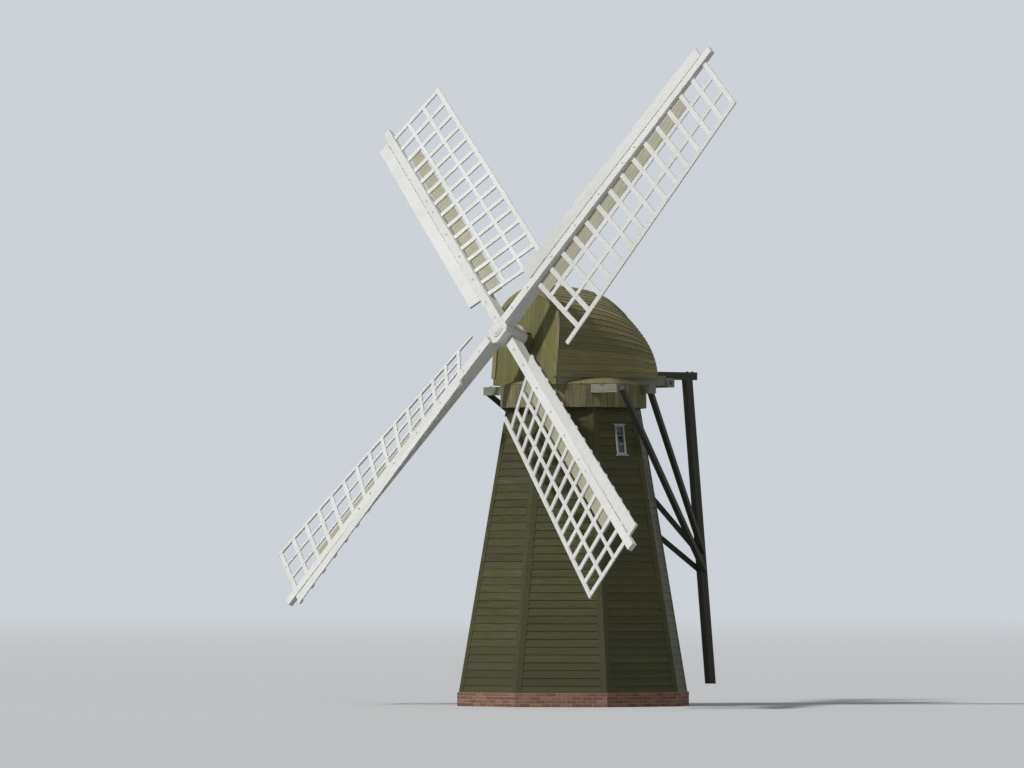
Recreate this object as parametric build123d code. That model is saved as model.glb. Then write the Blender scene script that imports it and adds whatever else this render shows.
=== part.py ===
"""A small smock drainage mill: an octagonal boarded tower, a boat-shaped cap with a braced tailpole,
and four common sails. Millimetres, +Z up. The sails face -Y, and the origin is on the ground at the
tower's centre."""
from build123d import *
import math
import os

os.makedirs("parts", exist_ok=True)

# Tower: eight sides, one of them square to the front
sides = 8
half_side_angle = 180 / sides
tower_base_radius = 2640      # centre to corner, at ground level
tower_top_radius = 1518       # centre to corner, at the wall tops
wall_top = 6500
plinth_height = 300
plinth_ledge = 35             # how far the brickwork stands out from the boarding
plinth_thickness = 330
wall_thickness = 150
post_face = 130               # how far a cant post shows along each side of its corner
post_depth = 220
upper_floor_top = 4760
upper_floor_thickness = 60

# Windows and door
window_width = 250
window_height = 640
window_drop = 730             # from the wall tops to a window's middle
window_shift = 90             # towards the tail, from the middle of the side
window_frame_width = 36
window_frame_depth = 90
window_proud = 15
pane_thickness = 12
door_width = 850
door_height = 1750
door_frame_width = 70
door_frame_proud = 20
door_thickness = 45
door_recess = 60              # from the boarding's face to the front of the door
step_width = 1100
step_depth = 360
step_height = 150

# Curb and cap frame
curb_setback = 118            # from the walls' corners
curb_width = 260
curb_height = 140
skid_gap = 0.3
skid_height = 30
skid_width = 180
skid_margin = 40              # from each edge of the curb to a skid
circle_height = 110
petticoat_overhang = 72       # outside the walls' corners
petticoat_thickness = 30
petticoat_lap = 30            # below the wall tops
beam_depth = 180              # of the front and rear cross beams
beam_width = 200
front_beam_y = -570
rear_beam_y = 900
rear_beam_reach = 310         # outside the petticoat
sheer_inset = 590             # from the petticoat to a sheer's middle
sheer_width = 200
sheer_depth = 220
sheer_tail = 1700
breast_beam_y = -960
breast_beam_inset = 15        # from the sheers' outer faces
breast_beam_width = 280
breast_beam_depth = 330
tail_beam_front = 380
tail_beam_back = 780
tail_beam_depth = 200

# Cap cover: a section like an upturned boat, high in front and lower at the tail
front_gable_inset = 230       # inside the petticoat, at the gable's foot
rear_gable_inset = 140
gable_sweep_gap = 60          # between the top of the front gable and the turning stocks
cover_thickness = 40
ridge_thickness = 52          # of the cover, measured upright at the ridge
cover_overlap = 60            # how far the cover hangs down outside the sheers
gable_thickness = 40
ridge_above_shaft = 1236      # at the front gable
ridge_fall = [0, 10, 55, 190, 600]    # below the front ridge, at stations along the cap
section_fullness = [7.0, 5.2, 3.9, 2.8, 2.0]
section_points = 10
apron_thickness = 30
apron_rise = 160

# Tail gear
spreader_width = 200
spreader_depth = 200
spreader_reach = 50           # outside the sheers
tail_tree_width = 180
tail_tree_depth = 170
tail_tree_seat = 120          # on the tail beam
tail_tree_overhang = 130      # past the tailpole's head
tailpole_size = 170
tailpole_head_y = 3200
tailpole_foot_y = 3860
tailpole_foot_z = 450
brace_size = 110
brace_inset = 100             # from the rear beam's end to the short brace
brace_clearance = 30          # between a long brace and the tower's corners
brace_steps = 200             # along a brace, where its gap to the tower is measured
brace_tries = 30
long_brace_foot_z = 2950
short_brace_foot_z = 3350

# Windshaft and sails
hub_reach = 1980              # from the tower's centre to the sails' centre
shaft_tilt = 18.4
neck_rise = 230.7             # from the breast beam's top to the shaft's middle line
tail_rise = 145               # from the tail beam's top to the shaft's middle line
shaft_radius = 190
neck_radius = 160
tail_radius = 90
journal_clearance = 0.5
journal_spare = 25            # of a journal past each side of its bearing
bearing_length = 180
bearing_wall = 60
neck_bearing_y = -900
tail_bearing_y = 500
shaft_hole_clearance = 35
poll_width = 480
poll_front = 130
poll_length = 620
poll_chamfer = 70
rotor_angle = 51.9            # of the first sail, from the horizontal
plane_gap = 260               # between the planes of the two pairs of sails
stock_size = 200
stock_end_width = 120
stock_end_depth = 90
stock_square_half = 450
stock_half_length = 5400
whip_heel = 280
whip_overrun = 320            # past the outermost bar
whip_heel_width = 220
whip_tip_width = 180
whip_thickness = 112
bar_count = 15
bar_tip_radius = 7600
bar_pitch = 441
bar_width = 108
bar_thickness = 30
column_count = 3
column_pitch = 504
column_offset = 39
weather_tip = 6.0
weather_heel = 22.7
uplong_width = 84
uplong_thickness = 28
uplong_spare = 60             # past the outermost bars
hemlath_width = 100
hemlath_thickness = 36
hemlath_overrun = 466         # past the heel bar, towards the hub
leading_edge = 395            # from the whip's middle to the leading edge
leading_board_thickness = 24
leading_board_gap = 15        # beside the whip
inner_board_gap = 30          # beside the whip, on its other side
inner_board_reach = 435       # from the whip's middle
inner_board_thickness = 20
inner_board_start = 2         # bars left open at the tip


def unit(angle):
    """Horizontal direction at an angle from the front, turning towards +X."""
    a = math.radians(angle)
    return Vector(math.sin(a), -math.cos(a), 0)


def along(angle):
    """Horizontal direction along the side that faces an angle."""
    a = math.radians(angle)
    return Vector(math.cos(a), math.sin(a), 0)


def polygon_face(points):
    return Face(Wire.make_polygon(points))


def prism(bottom, top):
    """Solid between two rings of as many points, with a flat face for each pair of edges."""
    count = len(bottom)
    faces = [polygon_face(bottom), polygon_face(top)]
    for i in range(count):
        j = (i + 1) % count
        faces.append(polygon_face([bottom[i], bottom[j], top[j], top[i]]))
    return Solid(Shell(faces))


def block(x, y, z):
    """Box between the lower and upper limits of x, y and z."""
    size = (x[1] - x[0], y[1] - y[0], z[1] - z[0])
    middle = (sum(x) / 2, sum(y) / 2, sum(z) / 2)
    return Pos(*middle) * Box(*size)


def mirrored(shape):
    return mirror(shape, about=Plane.YZ)


def save(shape, node):
    export_step(shape, f"parts/{node}.step")


def tower_radius(z):
    """Centre to corner of the boarding at a height."""
    return tower_base_radius - (tower_base_radius - tower_top_radius) * z / wall_top


def side_distance(z):
    return tower_radius(z) * math.cos(math.radians(half_side_angle))


# Tower walls and posts

def corner(angle, z):
    return unit(angle) * tower_radius(z) + Vector(0, 0, z)


def wall_ring(facing, z):
    """Plan of the wall panel that faces an angle, between its two posts."""
    inward = unit(facing) * -wall_thickness
    first = corner(facing - half_side_angle, z) + along(facing) * post_face
    last = corner(facing + half_side_angle, z) - along(facing) * post_face
    return [first, last, last + inward, first + inward]


def post_ring(angle, z):
    """Plan of the cant post at a corner."""
    before = angle - half_side_angle
    after = angle + half_side_angle
    point = corner(angle, z)
    first = point - along(before) * post_face
    last = point + along(after) * post_face
    return [first, point, last, last - unit(after) * post_depth, first - unit(before) * post_depth]


def floor_ring(z):
    """Plan of a floor that fits between the walls and round the posts."""
    ring = []
    for k in range(sides):
        facing = k * 360 / sides
        outer = wall_ring(facing, z)
        deeper = unit(facing) * -(post_depth - wall_thickness)
        ring += [outer[3] + deeper, outer[3], outer[2], outer[2] + deeper]
    return ring


def side_plane(facing, z, shift=0):
    """Plane on the boarding of a side: x along it, y up it, z outwards."""
    rise = (tower_base_radius - tower_top_radius) * math.cos(math.radians(half_side_angle)) / wall_top
    batter = math.atan(rise)
    outward = unit(facing) * math.cos(batter) + Vector(0, 0, math.sin(batter))
    origin = unit(facing) * side_distance(z) + along(facing) * shift + Vector(0, 0, z)
    return Plane(origin=origin, x_dir=along(facing), z_dir=outward)


def window_hole(plane):
    return plane * Box(window_width, window_height, 4 * wall_thickness)


def window_frame(plane):
    outline = Pos(0, 0, window_proud - window_frame_depth / 2) * Box(
        window_width, window_height, window_frame_depth)
    light = Box(window_width - 2 * window_frame_width, window_height - 2 * window_frame_width,
                4 * window_frame_depth)
    return plane * (outline - light)


def window_pane(plane):
    size = (window_width - 2 * window_frame_width, window_height - 2 * window_frame_width)
    return plane * Pos(0, 0, window_proud - window_frame_depth / 2) * Box(*size, pane_thickness)


def door_box(plane, width, height, front, back):
    """Box in the door's plane that starts below the sill and ends at a height above it."""
    below = 2 * plinth_height
    tall = height + below
    return plane * Pos(0, height - tall / 2, (front + back) / 2) * Box(width, tall, front - back)


tower_top = 2 * wall_top
above_plinth = block((-tower_top, tower_top), (-tower_top, tower_top), (plinth_height, tower_top))
door_facing = 225
door_plane = side_plane(door_facing, plinth_height)
window_planes = {
    90: side_plane(90, wall_top - window_drop, window_shift),
    270: side_plane(270, wall_top - window_drop, -window_shift),
}
wall_names = ["front", "front_right", "right", "back_right", "back", "back_left", "left", "front_left"]


def wall(facing):
    panel = prism(wall_ring(facing, plinth_height), wall_ring(facing, wall_top))
    if facing in window_planes:
        panel -= window_hole(window_planes[facing])
    if facing == door_facing:
        width = door_width + 2 * door_frame_width
        height = door_height + door_frame_width
        panel -= door_box(door_plane, width, height, wall_thickness, -2 * wall_thickness)
    return panel


def door_frame():
    width = door_width + 2 * door_frame_width
    outline = door_box(door_plane, width, door_height + door_frame_width, door_frame_proud, -wall_thickness)
    hole = door_box(door_plane, door_width, door_height, wall_thickness, -2 * wall_thickness)
    return (outline - hole) & above_plinth


def door():
    leaf = door_box(door_plane, door_width, door_height, -door_recess, -door_recess - door_thickness)
    return leaf & above_plinth


def doorstep():
    face = plinth_outer_side()
    plane = Plane(origin=unit(door_facing) * face, x_dir=along(door_facing), z_dir=(0, 0, 1))
    return plane * Pos(0, -step_depth / 2, step_height / 2) * Box(step_width, step_depth, step_height)


def plinth_outer_side():
    return side_distance(plinth_height) + plinth_ledge


def octagon(side, low, high):
    radius = side / math.cos(math.radians(half_side_angle))
    corners = [unit(half_side_angle + k * 360 / sides) * radius for k in range(sides)]
    rise = Vector(0, 0, 1)
    return prism([c + rise * low for c in corners], [c + rise * high for c in corners])


def plinth():
    outer = octagon(plinth_outer_side(), 0, plinth_height)
    inner = octagon(plinth_outer_side() - plinth_thickness, -plinth_height, 2 * plinth_height)
    return outer - inner


def ground_floor():
    """Floor level with the top of the brickwork, filled down to the ground."""
    return octagon(plinth_outer_side() - plinth_thickness, 0, plinth_height)


def ring(outer, inner, low, high):
    middle = (low + high) / 2
    return Pos(0, 0, middle) * (Cylinder(outer, high - low) - Cylinder(inner, 2 * (high - low)))


curb_top = wall_top + curb_height
curb_outer_radius = tower_top_radius - curb_setback
curb_inner_radius = curb_outer_radius - curb_width

save(plinth(), "brick_plinth")
save(ground_floor(), "ground_floor")
for number, name in enumerate(wall_names):
    save(wall(number * 360 // sides), f"wall_{name}")
posts = []
for number in range(sides):
    turn = half_side_angle + number * 360 / sides
    posts.append(prism(post_ring(turn, plinth_height), post_ring(turn, wall_top)))
save(Compound(posts), "cant_posts")
upper_floor_bottom = upper_floor_top - upper_floor_thickness
save(prism(floor_ring(upper_floor_bottom), floor_ring(upper_floor_top)), "upper_floor")
save(Compound([window_frame(plane) for plane in window_planes.values()]), "window_frames")
save(Compound([window_pane(plane) for plane in window_planes.values()]), "window_panes")
save(door_frame(), "door_frame")
save(door(), "door")
save(doorstep(), "doorstep")
save(ring(curb_outer_radius, curb_inner_radius, wall_top, curb_top), "curb_ring")


# Cap frame

circle_bottom = curb_top + skid_height
circle_top = circle_bottom + circle_height
sheer_bottom = circle_top + beam_depth
sheer_top = sheer_bottom + sheer_depth
petticoat_radius = tower_top_radius + petticoat_overhang
petticoat_inner_radius = petticoat_radius - petticoat_thickness


def cap_circle():
    body = ring(petticoat_inner_radius, curb_inner_radius, circle_bottom, circle_top)
    low = curb_top + skid_gap
    length = curb_width - 2 * skid_margin
    middle = curb_outer_radius - curb_width / 2
    for k in range(sides):
        skid = Pos(middle, 0, (low + circle_bottom) / 2) * Box(length, skid_width, circle_bottom - low)
        body += Rot(0, 0, half_side_angle + k * 360 / sides) * skid
    return body


cap_front = front_gable_inset - petticoat_radius
cap_back = petticoat_radius - rear_gable_inset


def cross_piece(y, half_length, width, low, high):
    return block((-half_length, half_length), (y - width / 2, y + width / 2), (low, high))


sheer_inner = petticoat_radius - sheer_inset - sheer_width / 2
sheer_outer = sheer_inner + sheer_width
cap_half_width = sheer_outer + cover_thickness
right_sheer = block((sheer_inner, sheer_outer), (cap_front + gable_thickness, sheer_tail),
                    (sheer_bottom, sheer_top))
left_sheer = mirrored(right_sheer)
breast_top = sheer_top + breast_beam_depth
breast_beam_half = sheer_outer - breast_beam_inset
breast_beam = cross_piece(breast_beam_y, breast_beam_half, breast_beam_width, sheer_top, breast_top)


# Windshaft frame: x to the right, y up in the sails' plane, z forwards along the shaft

tilt = math.radians(shaft_tilt)
hub_height = breast_top + neck_rise + (hub_reach + neck_bearing_y) * math.tan(tilt)
shaft_plane = Plane(origin=(0, -hub_reach, hub_height), x_dir=(1, 0, 0),
                    z_dir=(0, -math.cos(tilt), math.sin(tilt)))


def shaft_z(y):
    """Height of the shaft's middle line at a y of the mill."""
    return hub_height - (hub_reach + y) * math.tan(tilt)


def shaft_distance(y):
    """Place along the shaft, in its own frame, at a y of the mill."""
    return -(y + hub_reach) / math.cos(tilt)


poll_back = poll_front - poll_length
neck_middle = shaft_distance(neck_bearing_y)
tail_middle = shaft_distance(tail_bearing_y)
neck_half = bearing_length / 2 + journal_spare


def shaft_length(radius, front, back):
    return Pos(0, 0, (front + back) / 2) * Cylinder(radius, front - back)


tail_beam_top = shaft_z(tail_bearing_y) - tail_rise
tail_beam = block((-sheer_inner, sheer_inner), (tail_beam_front, tail_beam_back),
                  (tail_beam_top - tail_beam_depth, tail_beam_top))


def windshaft():
    shaft = shaft_length(neck_radius, neck_middle + neck_half, neck_middle - neck_half)
    shaft += shaft_length(shaft_radius, poll_back, neck_middle + neck_half)
    shaft += shaft_length(shaft_radius, neck_middle - neck_half, tail_middle + neck_half)
    shaft += shaft_length(tail_radius, tail_middle + neck_half, tail_middle - neck_half)
    return shaft_plane * shaft


def bearing(middle, radius, seat):
    """Half-round block under a journal, cut off level on its seat."""
    width = 2 * (radius + bearing_wall)
    deep = 2 * radius + bearing_wall
    body = Pos(0, -deep / 2, middle) * Box(width, deep, bearing_length)
    body -= Pos(0, 0, middle) * Cylinder(radius + journal_clearance, 2 * bearing_length)
    reach = 4 * hub_reach
    return (shaft_plane * body) & block((-reach, reach), (-reach, reach), (seat, seat + reach))


shaft_bearings = Compound([bearing(neck_middle, neck_radius, breast_top),
                           bearing(tail_middle, tail_radius, tail_beam_top)])


# Cap cover

cover_bottom = sheer_top - cover_overlap
front_ridge = shaft_z(cap_front) + ridge_above_shaft
stations = len(ridge_fall)
stock_back = plane_gap / 2 + whip_thickness / 2 + stock_size     # behind the sails' centre


def sweep_y(z, gap):
    """Where a plane that stands a gap behind the turning stocks is, at a height."""
    return -hub_reach + (stock_back + gap + (z - hub_height) * math.sin(tilt)) / math.cos(tilt)


gable_slope = (sweep_y(front_ridge, gable_sweep_gap) - cap_front) / (front_ridge - cover_bottom)


def gable_lean(z):
    """How far the front gable has leant back at a height, above the foot of the cover."""
    return gable_slope * (z - cover_bottom)


def station_y(k):
    return cap_front + (cap_back - cap_front) * k / (stations - 1)


def half_section(k, inside):
    """Points of the cover from its foot to the ridge, at one station."""
    y = station_y(k)
    width = cap_half_width
    rise = front_ridge - ridge_fall[k] - cover_bottom
    if inside:
        width -= cover_thickness
        rise -= ridge_thickness
    points = []
    for i in range(section_points):
        share = math.sin(math.radians(90 * i / (section_points - 1)))
        x = width * (1 - share ** section_fullness[k])
        z = cover_bottom + rise * share
        points.append(Vector(x, y + gable_lean(z) if k == 0 else y, z))
    return points


def cap_volume(inside):
    """Right half of the closed form inside or outside the cover."""
    spans = []
    for k in range(stations - 1):
        rings = []
        for station in (k, k + 1):
            points = half_section(station, inside)
            rings.append(points + [Vector(0, points[0].Y, cover_bottom)])
        spans.append(facetted(rings[0], rings[1]))
    return spans


def facetted(first, second):
    """Solid between two rings, with two triangles for each pair of edges that isn't flat."""
    count = len(first)
    faces = [polygon_face(first), polygon_face(second)]
    for i in range(count):
        j = (i + 1) % count
        faces.append(polygon_face([first[i], first[j], second[j]]))
        faces.append(polygon_face([first[i], second[j], second[i]]))
    return Solid(Shell(faces))


inner_spans = cap_volume(True)


def cover_side():
    """Right side of the boarded cover, from its foot to the ridge."""
    shells = [outer - inner for outer, inner in zip(cap_volume(False), inner_spans)]
    return shells[0].fuse(*shells[1:]) - right_sheer


shaft_hole = shaft_plane * Cylinder(shaft_radius + shaft_hole_clearance, 4 * hub_reach)


def gable(low_y, high_y, span, lean):
    """Boarded end that fills the cover's section and reaches down to the sheers' feet."""
    def slab_ring(shift, z):
        corners = ((-sheer_outer, low_y), (sheer_outer, low_y), (sheer_outer, high_y), (-sheer_outer, high_y))
        return [Vector(x, y + shift, z) for x, y in corners]

    slab = prism(slab_ring(0, cover_bottom), slab_ring(lean, front_ridge))
    upper = span & slab
    upper += mirrored(upper)
    foot = block((-sheer_outer, sheer_outer), (low_y, high_y), (sheer_bottom, cover_bottom))
    return upper + foot - right_sheer - left_sheer


tail_tree_bottom = tail_beam_top
tail_tree_top = tail_tree_bottom + tail_tree_depth
tail_tree_front = tail_beam_back - tail_tree_seat
tail_tree = block((-tail_tree_width / 2, tail_tree_width / 2),
                  (tail_tree_front, tailpole_head_y + tailpole_size / 2 + tail_tree_overhang),
                  (tail_tree_bottom, tail_tree_top))
front_gable = gable(cap_front, cap_front + gable_thickness, inner_spans[0], gable_lean(front_ridge))
front_gable -= shaft_hole
rear_gable = gable(cap_back - gable_thickness, cap_back, inner_spans[-1], 0) - tail_tree

apron_inner = sheer_bottom + apron_rise
apron_section = [(petticoat_radius, sheer_bottom), (petticoat_radius, sheer_bottom + apron_thickness),
                 (sheer_outer, apron_inner + apron_thickness), (sheer_outer, apron_inner)]
apron = revolve(make_face(Plane.XZ * Polyline(*apron_section, close=True)), Axis.Z)
apron -= block((-cap_half_width, cap_half_width), (cap_front, cap_back), (circle_top, front_ridge))
apron -= right_sheer
apron -= left_sheer
petticoat_bottom = wall_top - petticoat_lap
petticoat = ring(petticoat_radius, petticoat_inner_radius, petticoat_bottom, sheer_bottom)


# Tail gear, and the two beams that carry its braces

spreader_y = sheer_tail + spreader_width / 2
spreader = cross_piece(spreader_y, sheer_outer + spreader_reach, spreader_width,
                       tail_beam_top - spreader_depth, tail_beam_top)


def beam_between(start, end, width, depth):
    """Square-ended timber along a line, with its depth upright."""
    line = end - start
    plane = Plane(origin=(start + end) / 2, x_dir=Vector(0, 0, 1).cross(line), z_dir=line)
    return plane * Box(width, depth, line.length)


pole_head = Vector(0, tailpole_head_y, tail_tree_bottom)
pole_foot = Vector(0, tailpole_foot_y, tailpole_foot_z)


def pole_point(z):
    """Point on the tailpole's middle line at a height."""
    return pole_head + (pole_foot - pole_head) * ((pole_head.Z - z) / (pole_head.Z - pole_foot.Z))


def tailpole():
    half = tailpole_size / 2
    ring_at = {}
    for name, point in (("head", pole_head), ("foot", pole_foot)):
        corners = ((-half, -half), (half, -half), (half, half), (-half, half))
        ring_at[name] = [point + Vector(x, y, 0) for x, y in corners]
    return prism(ring_at["foot"], ring_at["head"])


def brace_foot(z):
    """Where a right-hand brace meets the side of the tailpole."""
    return pole_point(z) + Vector(tailpole_size / 2, 0, 0)


def corner_gap(start, end):
    """Least distance from a straight line to the circle in which the tower's corners pass it."""
    steps = [start + (end - start) * (k / brace_steps) for k in range(brace_steps + 1)]
    return min(math.hypot(point.X, point.Y) - tower_radius(min(point.Z, wall_top)) for point in steps)


def clear_start(foot, y, z, gap):
    """Start of a brace, at a y and z, from which it passes the tower's corners by a gap."""
    x = petticoat_radius
    for _ in range(brace_tries):
        x += gap - corner_gap(Vector(x, y, z), foot)
    return Vector(x, y, z)


beam_middle = circle_top + beam_depth / 2
long_foot = brace_foot(long_brace_foot_z)
passing_gap = brace_clearance + brace_size / math.sqrt(2)
long_start = clear_start(long_foot, front_beam_y, beam_middle, passing_gap)
front_beam_half = long_start.X - brace_size / 2
rear_beam_half = math.sqrt(petticoat_radius ** 2 - rear_beam_y ** 2) + rear_beam_reach
short_start = Vector(rear_beam_half - brace_inset, rear_beam_y, beam_middle)
front_cross_beam = cross_piece(front_beam_y, front_beam_half, beam_width, circle_top, sheer_bottom)
rear_cross_beam = cross_piece(rear_beam_y, rear_beam_half, beam_width, circle_top, sheer_bottom)
petticoat -= front_cross_beam
petticoat -= rear_cross_beam
pole = tailpole()
long_brace = beam_between(long_start, long_foot, brace_size, brace_size) - front_cross_beam - pole
short_brace = beam_between(short_start, brace_foot(short_brace_foot_z), brace_size, brace_size)
short_brace -= rear_cross_beam
short_brace -= pole

save(cap_circle(), "cap_circle")
save(Compound([front_cross_beam, rear_cross_beam]), "cross_beams")
save(Compound([right_sheer, left_sheer]), "sheers")
save(breast_beam, "breast_beam")
save(tail_beam, "tail_beam")
save(shaft_bearings, "shaft_bearings")
right_cover = cover_side()
save(right_cover, "cap_side_right")
save(mirrored(right_cover), "cap_side_left")
save(front_gable, "front_gable")
save(rear_gable, "rear_gable")
save(apron, "apron")
save(petticoat, "petticoat")
save(spreader, "rear_spreader")
save(tail_tree, "tail_tree")
save(pole, "tailpole")
save(Compound([long_brace, mirrored(long_brace)]), "long_braces")
save(Compound([short_brace, mirrored(short_brace)]), "short_braces")


# Sails, in the windshaft's frame. A sail is drawn pointing up, with its lattice on the +x side

pair_offset = plane_gap / 2


def section(radius, half_width, front, back):
    """Cross-section of a timber at a distance from the hub."""
    corners = ((-half_width, front), (half_width, front), (half_width, back), (-half_width, back))
    return [Vector(x, radius, z) for x, z in corners]


def stock():
    """Tapered timber through the poll end, its front face against the whips."""
    half = stock_size / 2
    front = -whip_thickness / 2
    body = Pos(0, 0, front - half) * Box(stock_size, 2 * stock_square_half, stock_size)
    inner = section(stock_square_half, half, front, front - stock_size)
    outer = section(stock_half_length, stock_end_width / 2, front, front - stock_end_depth)
    arm = prism(inner, outer)
    return body + arm + Rot(0, 0, 180) * arm


def weather(radius):
    """Angle of a bar to the sails' plane, at a distance from the hub."""
    share = (bar_tip_radius - radius) / (bar_pitch * (bar_count - 1))
    return weather_tip + (weather_heel - weather_tip) * share


def lath_point(offset, radius):
    """Point of a lath's straight line, set out at the tip and heel bars."""
    ends = []
    for r in (bar_tip_radius, bar_tip_radius - bar_pitch * (bar_count - 1)):
        a = math.radians(weather(r))
        ends.append(Vector(offset * math.cos(a), r, -offset * math.sin(a)))
    share = (bar_tip_radius - radius) / (bar_pitch * (bar_count - 1))
    return ends[0] + (ends[1] - ends[0]) * share


def bar_angle(radius):
    end = lath_point(hem_offset, radius)
    return math.degrees(math.atan2(-end.Z, end.X))


hem_offset = column_offset + column_count * column_pitch
heel_bar_radius = bar_tip_radius - bar_pitch * (bar_count - 1)


def lath(offset, low, high, width, thickness):
    start = lath_point(offset, low)
    end = lath_point(offset, high)
    line = end - start
    angle = math.radians(bar_angle((low + high) / 2))
    across = Vector(math.cos(angle), 0, -math.sin(angle))
    plane = Plane(origin=(start + end) / 2, x_dir=across, z_dir=line)
    return plane * Box(width, thickness, line.length)


def whip():
    half = whip_thickness / 2
    heel = section(whip_heel, whip_heel_width / 2, half, -half)
    tip = section(bar_tip_radius + whip_overrun, whip_tip_width / 2, half, -half)
    return prism(heel, tip)


def lattice():
    """Whip with its bars, uplongs and hemlath, joined where they cross."""
    pieces = []
    lath_tip = bar_tip_radius + uplong_spare
    for i in range(bar_count):
        radius = bar_tip_radius - i * bar_pitch
        reach = lath_point(hem_offset, radius)
        length = math.hypot(reach.X, reach.Z) + leading_edge
        middle = (length - 2 * leading_edge) / 2
        bar = Pos(middle, 0, 0) * Box(length, bar_width, bar_thickness)
        pieces.append(Pos(0, radius, 0) * Rot(0, bar_angle(radius), 0) * bar)
    for column in range(1, column_count):
        offset = column_offset + column * column_pitch
        low = heel_bar_radius - uplong_spare
        pieces.append(lath(offset, low, lath_tip, uplong_width, uplong_thickness))
    hemlath_heel = heel_bar_radius - hemlath_overrun
    pieces.append(lath(hem_offset, hemlath_heel, lath_tip, hemlath_width, hemlath_thickness))
    body = whip()
    return body.fuse(*pieces)


def board_strip(left, right, low, high, first=0):
    """Board along the bars, flat on each of them and twisted between them."""
    rings = []
    for i in range(first, bar_count):
        radius = bar_tip_radius - i * bar_pitch
        a = math.radians(bar_angle(radius))
        across = Vector(math.cos(a), 0, -math.sin(a))
        forward = Vector(math.sin(a), 0, math.cos(a))
        corners = ((left, low), (right, low), (right, high), (left, high))
        for edge in (bar_width / 2, -bar_width / 2):
            place = Vector(0, radius + edge, 0)
            rings.append([place + across * x + forward * z for x, z in corners])
    spans = [facetted(a, b) for a, b in zip(rings, rings[1:])]
    return spans[0].fuse(*spans[1:])


def leading_board():
    """Board on the fronts of the bars."""
    low = bar_thickness / 2
    near = whip_heel_width / 2 + leading_board_gap
    return board_strip(-leading_edge, -near, low, low + leading_board_thickness)


def inner_board():
    """Board on the backs of the bars, which closes most of the first column."""
    high = -bar_thickness / 2
    near = whip_heel_width / 2 + inner_board_gap
    return board_strip(near, inner_board_reach, high - inner_board_thickness, high, inner_board_start)


def placed(shape, number):
    """Turns a sail's piece to its own place and into its pair's plane."""
    offset = pair_offset if number % 2 == 0 else -pair_offset
    return shaft_plane * Pos(0, 0, offset) * Rot(0, 0, rotor_angle - 90 + 90 * number) * shape


def poll_end():
    length = poll_length
    body = Pos(0, 0, poll_front - length / 2) * Box(poll_width, poll_width, length)
    edges = body.edges().filter_by(Axis.Z)
    body = chamfer(edges, poll_chamfer)
    turned = shaft_plane * Rot(0, 0, rotor_angle - 90) * body
    return turned - stocks[0] - stocks[1]


plain_stock = stock()
stocks = [placed(plain_stock, 0), placed(plain_stock, 1)]
plain_lattice = lattice()
plain_board = leading_board()
plain_inner_board = inner_board()

save(windshaft(), "windshaft")
save(poll_end(), "poll_end")
save(stocks[0], "stock_front")
save(stocks[1], "stock_back")
for number in range(4):
    save(placed(plain_lattice, number), f"sail_lattice_{number + 1}")
save(Compound([placed(plain_board, number) for number in range(4)]), "leading_boards")
save(Compound([placed(plain_inner_board, number) for number in range(4)]), "inner_boards")
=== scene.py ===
import math
import random

import bpy
import numpy as np
from mathutils import Matrix, Vector


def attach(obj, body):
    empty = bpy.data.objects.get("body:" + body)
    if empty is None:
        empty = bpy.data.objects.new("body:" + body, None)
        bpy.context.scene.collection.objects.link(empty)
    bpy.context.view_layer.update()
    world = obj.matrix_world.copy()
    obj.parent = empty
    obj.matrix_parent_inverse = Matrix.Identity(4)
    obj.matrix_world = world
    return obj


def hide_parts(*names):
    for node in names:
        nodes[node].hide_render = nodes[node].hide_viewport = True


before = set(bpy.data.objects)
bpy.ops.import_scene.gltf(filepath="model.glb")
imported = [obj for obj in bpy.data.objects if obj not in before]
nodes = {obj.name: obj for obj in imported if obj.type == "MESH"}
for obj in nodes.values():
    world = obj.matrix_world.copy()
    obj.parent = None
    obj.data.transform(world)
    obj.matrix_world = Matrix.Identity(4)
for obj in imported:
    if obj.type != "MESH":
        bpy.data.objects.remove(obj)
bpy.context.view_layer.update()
chance = random.Random(1887)

# Sizes that several pieces share, in metres and degrees
tower = dict(baseRadius=2.64, topRadius=1.518, wallTop=6.5, plinthTop=0.3, postFace=0.13)
rotor = dict(
    hub=Vector((0, -1.98, 8.09997)), tilt=math.radians(18.4), firstSail=51.9, pairOffset=0.13)
halfSide = math.radians(22.5)
narrowing = tower["baseRadius"] - tower["topRadius"]
batter = math.atan(narrowing * math.cos(halfSide) / tower["wallTop"])
facingFront = (math.radians(90), 0, 0)      # turns a rod's end to the front
almost = 0.9                                # how nearly a face or edge points a given way


# Small tools for modelling

def deselectAll():
    bpy.ops.object.select_all(action="DESELECT")


def onlyThis(piece):
    deselectAll()
    piece.select_set(True)
    bpy.context.view_layer.objects.active = piece


def rename(piece, name):
    piece.name = name
    piece.data.name = name
    return piece


def start(name, primitive, **settings):
    # the place goes into the mesh, so the object stays at the origin
    deselectAll()
    primitive(**settings)
    bpy.ops.object.transform_apply(location=True, rotation=True, scale=True)
    return rename(bpy.context.object, name)


def startBlock(name, size, middle=(0, 0, 0)):
    return start(name, bpy.ops.mesh.primitive_cube_add, size=1, location=middle, scale=size)


def startRod(name, radius, depth, sides, middle=(0, 0, 0), turn=(0, 0, 0)):
    return start(name, bpy.ops.mesh.primitive_cylinder_add, vertices=sides, radius=radius,
                 depth=depth, location=middle, rotation=turn)


def openAll(piece):
    onlyThis(piece)
    bpy.ops.object.mode_set(mode="EDIT")
    bpy.ops.mesh.select_all(action="SELECT")


def close():
    bpy.ops.object.mode_set(mode="OBJECT")


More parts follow.
